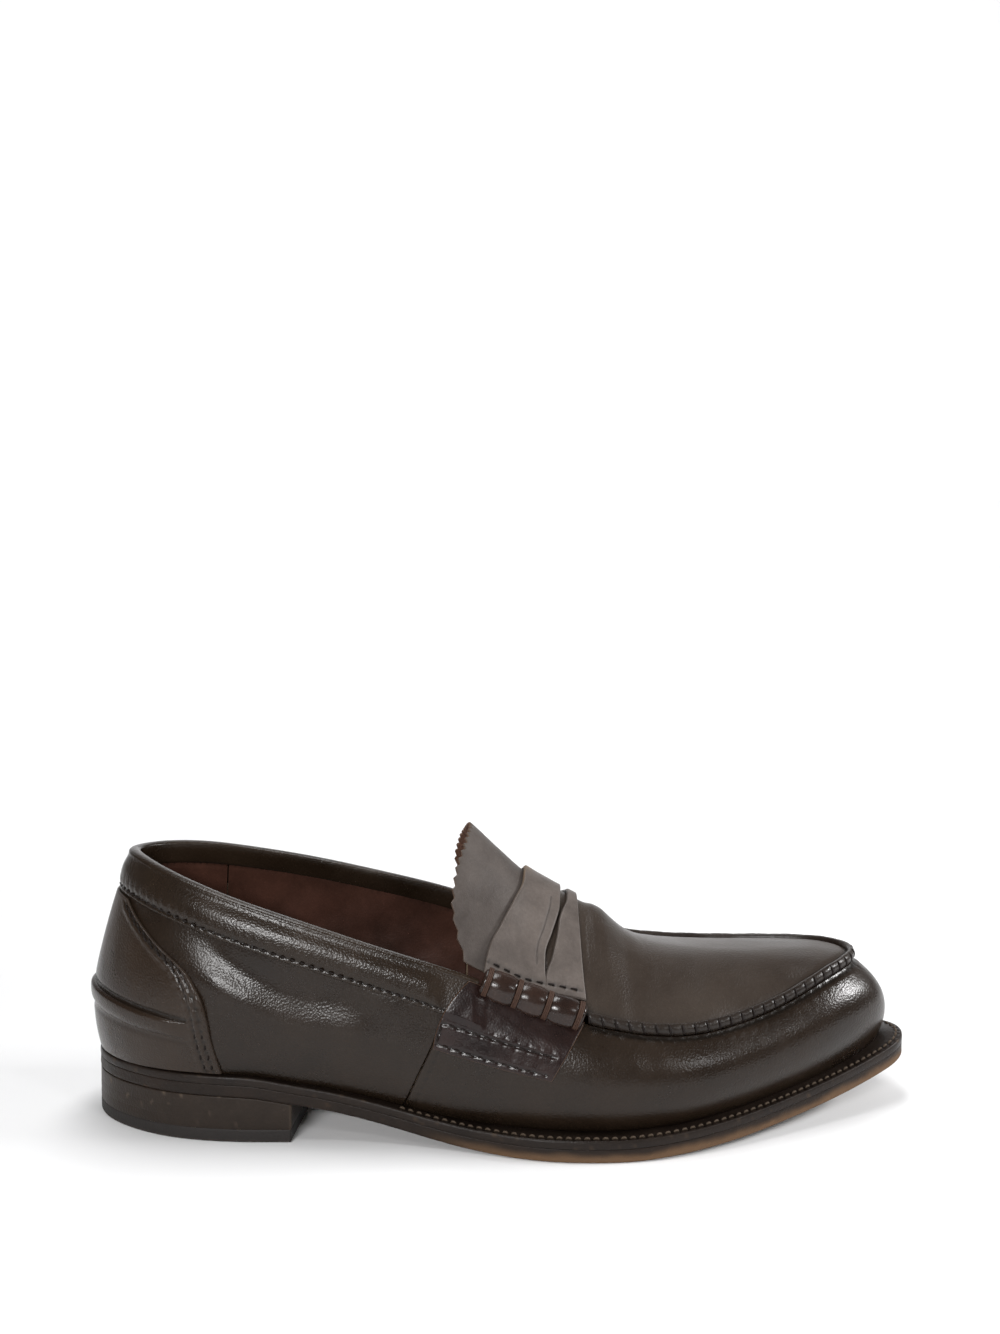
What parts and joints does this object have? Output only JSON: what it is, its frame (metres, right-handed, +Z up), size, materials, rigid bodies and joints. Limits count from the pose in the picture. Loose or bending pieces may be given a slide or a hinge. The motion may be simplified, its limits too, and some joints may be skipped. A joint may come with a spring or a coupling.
{
  "type": "penny loafer",
  "caption": "Right-foot slip-on penny loafer with a saddle strap and coin slot, beef rolls, raised apron seam, pinked tongue, welted leather sole and stacked heel.",
  "frame": {"origin": "middle of the shoe's outer box in plan, on the floor it stands on", "axes": "+X towards the toe, -Y towards the outer (lateral) side, +Z up"},
  "size_m": [0.3028, 0.0994, 0.1042],
  "materials": {
    "upper_leather": "semi-gloss, brushed dark brown",
    "tab_leather": "satin, dark red-brown",
    "lining_leather": "matt, red-brown",
    "stiffener": "matt",
    "sole_leather": "stained and waxed edge",
    "insole_leather": "matt, natural",
    "leatherboard": "matt",
    "cork": "matt",
    "thread": "waxed",
    "heel_rubber": "matt",
    "steel": "plain",
    "brass": "plain"
  },
  "bodies": {
    "shoe": {"outsole": "sole_leather", "outsole_stitching": "thread", "welt": "sole_leather", "heel_rand": "sole_leather", "welt_stitching": "thread", "cork_filler": "cork", "shank_cover": "leatherboard", "steel_shank": "steel", "insole": "insole_leather", "sock_lining": "lining_leather", "heel_lift_1": "sole_leather", "heel_lift_2": "sole_leather", "heel_lift_3": "sole_leather", "heel_top_piece": "heel_rubber", "seat_nails": "brass", "top_piece_nails": "brass", "vamp": "upper_leather", "quarter_lateral": "upper_leather", "quarter_medial": "upper_leather", "toe_puff": "stiffener", "side_backer_lateral": "stiffener", "side_backer_medial": "stiffener", "heel_stiffener": "stiffener", "vamp_lining": "lining_leather", "quarter_lining_lateral": "lining_leather", "quarter_lining_medial": "lining_leather", "heel_lining": "lining_leather", "collar_lateral": "upper_leather", "collar_medial": "upper_leather", "collar_stitching": "thread", "counter_cover": "upper_leather", "counter_stitching": "thread", "heel_ridge": "upper_leather", "side_tab_lateral": "tab_leather", "side_tab_medial": "tab_leather", "tab_stitching": "thread", "beef_roll_lateral": "upper_leather", "beef_roll_medial": "upper_leather", "roll_wraps": "thread", "apron": "upper_leather", "apron_lip": "upper_leather", "apron_stitching": "thread", "apron_lining": "lining_leather", "saddle_strap": "upper_leather", "strap_stitching": "thread"},
    "tongue": {"tongue": "upper_leather"}
  },
  "joints": [
    {"name": "tongue_lift", "type": "hinge", "parent": "shoe", "child": "tongue", "pos_m": [0.00738, 0, 0.0863], "axis": [0, 1, 0], "range_deg": [0, 40], "stiffness_Nm_per_rad": 0.05}
  ]
}
